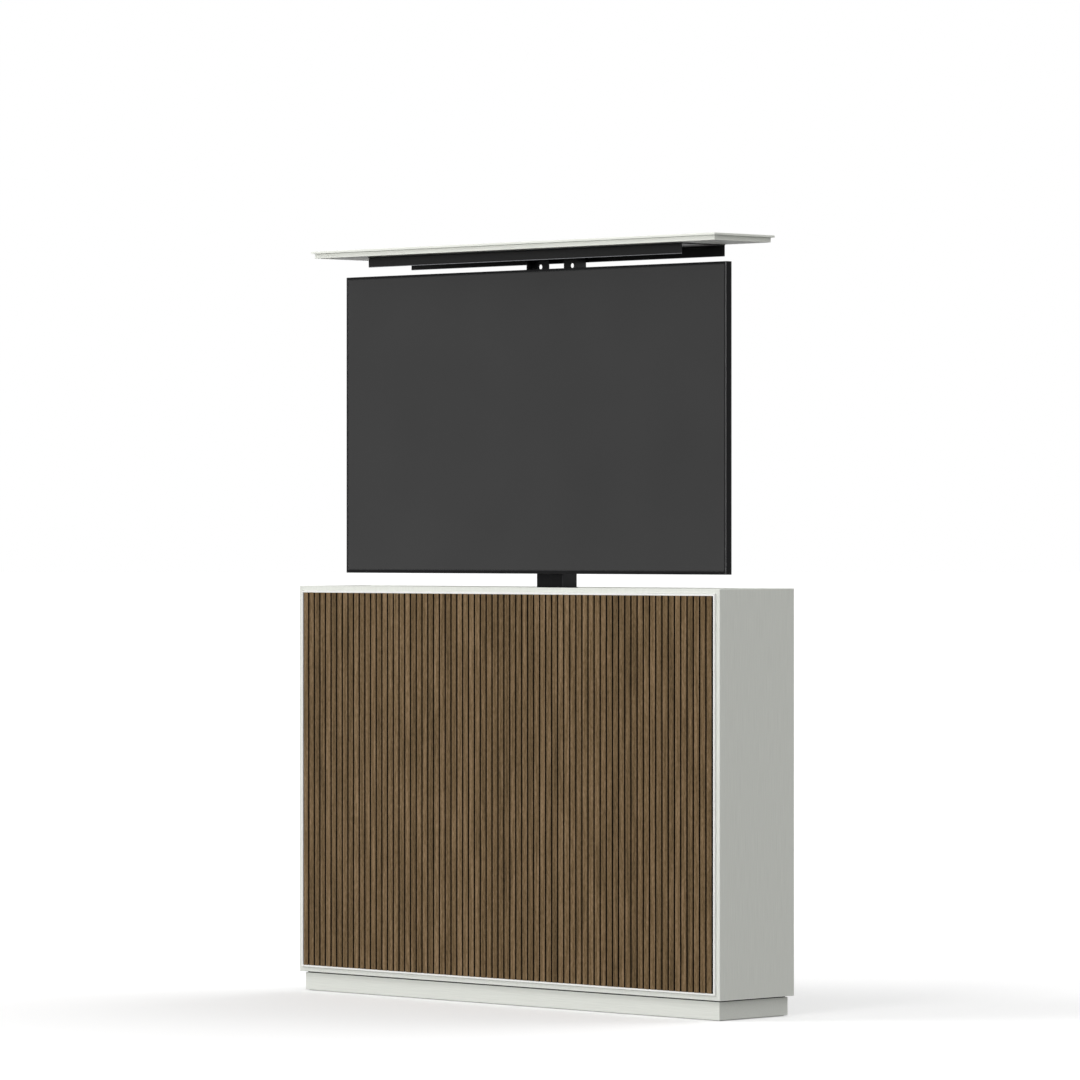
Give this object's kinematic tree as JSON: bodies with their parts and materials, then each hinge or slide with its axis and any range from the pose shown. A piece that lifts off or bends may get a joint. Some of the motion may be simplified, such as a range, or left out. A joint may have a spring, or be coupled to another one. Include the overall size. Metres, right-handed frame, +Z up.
{
  "type": "tv lift cabinet",
  "caption": "Slatted-front cabinet whose telescopic mast raises a flat television and the lid above it out of the top.",
  "frame": {"origin": "on the floor, in the middle of the overall width and depth", "axes": "+X to the right seen from the front, +Y to the back, +Z up"},
  "size_m": [1.364, 0.2478, 1.7435],
  "materials": {
    "lacquered_board": "satin grey-white lacquer",
    "inner_board": "plain melamine-faced board",
    "slat_veneer": "brown wood veneer with an upright grain",
    "black_backing": "matt black board",
    "white_trim": "white lacquer",
    "lid_lacquer": "satin off-white lacquer",
    "black_carrier": "satin black enamel on steel",
    "black_aluminium": "black anodised extrusion",
    "black_steel": "fine black powder coat",
    "bright_steel": "zinc-plated steel",
    "bronze": "machined bronze",
    "glide_plastic": "natural acetal",
    "motor_paint": "dark grey enamel",
    "cast_housing": "sand-cast, tumbled",
    "black_plastic": "fine-textured moulding",
    "tv_frame_plastic": "dark satin moulding",
    "tv_screen": "dark anti-glare screen",
    "tv_inner": "pale moulded tray"
  },
  "bodies": {
    "cabinet": {"front_panel": "lacquered_board", "slat_backing_board": "black_backing", "front_slats": "slat_veneer", "front_trim_strips": "white_trim", "side_panel_left": "lacquered_board", "side_panel_right": "lacquered_board", "bottom_panel": "inner_board", "back_panel": "inner_board", "top_rail_front": "inner_board", "top_rail_rear": "lacquered_board", "top_rail_left": "lacquered_board", "top_rail_right": "lacquered_board", "plinth_front": "lacquered_board", "plinth_rear": "lacquered_board", "plinth_left": "lacquered_board", "plinth_right": "lacquered_board", "levelling_feet": "black_plastic", "service_cover": "black_steel", "service_cover_screws": "bright_steel", "vent_grille": "black_plastic", "cable_grommet": "black_plastic", "power_inlet": "black_plastic", "mast_base_plate": "black_steel", "gearbox_housing": "cast_housing", "drive_motor": "motor_paint", "lower_bearing": "bright_steel", "control_box": "black_plastic", "control_box_cover": "black_plastic", "outer_column": "black_aluminium", "outer_glide_pads": "glide_plastic", "column_wall_brackets": "black_steel", "column_bracket_screws": "bright_steel"},
    "lower_spindle": {"lower_spindle": "bright_steel"},
    "mast_middle": {"middle_column": "black_aluminium", "middle_nut_block": "bronze", "middle_lower_glides": "glide_plastic", "middle_upper_glides": "glide_plastic", "upper_bearing": "bright_steel"},
    "upper_spindle": {"upper_spindle": "bright_steel"},
    "carriage": {"inner_column": "black_aluminium", "inner_nut_block": "bronze", "inner_glides": "glide_plastic", "column_head_plate": "black_steel", "carriage_hanger_plate": "black_steel", "mount_cross_rails": "black_steel", "tv_bracket_left": "black_steel", "tv_bracket_right": "black_steel", "tv_mount_screws": "bright_steel", "tv_frame": "tv_frame_plastic", "tv_screen_panel": "tv_screen", "tv_backlight_unit": "tv_inner", "tv_rear_cover": "black_plastic", "tv_electronics_housing": "black_plastic", "lid_arm_left": "black_steel", "lid_arm_right": "black_steel", "lid_carrier_plate": "black_carrier", "lid_carrier_flanges": "black_carrier", "lid_arm_screws": "bright_steel", "lid_base_board": "lid_lacquer", "lid_top_board": "lid_lacquer"}
  },
  "joints": [
    {"name": "middle_lift", "type": "slide", "parent": "cabinet", "child": "mast_middle", "axis": [0, 0, 1], "range_m": [-0.3915, 0]},
    {"name": "inner_lift", "type": "slide", "parent": "mast_middle", "child": "carriage", "axis": [0, 0, 1], "range_m": [-0.3915, 0]},
    {"name": "lower_spindle_turn", "type": "hinge", "parent": "cabinet", "child": "lower_spindle", "pos_m": [0, 0.0575, 0.1], "axis": [0, 0, 1], "range_deg": [0, 7050]},
    {"name": "upper_spindle_turn", "type": "hinge", "parent": "mast_middle", "child": "upper_spindle", "pos_m": [0, 0.0575, 0.55], "axis": [0, 0, 1], "range_deg": [0, 7050]}
  ],
  "couplings": [
    {"joint": "inner_lift", "follows": "middle_lift", "ratio": 1},
    {"joint": "lower_spindle_turn", "follows": "middle_lift", "rad_per_m": -314.16},
    {"joint": "upper_spindle_turn", "follows": "middle_lift", "rad_per_m": -314.16}
  ]
}
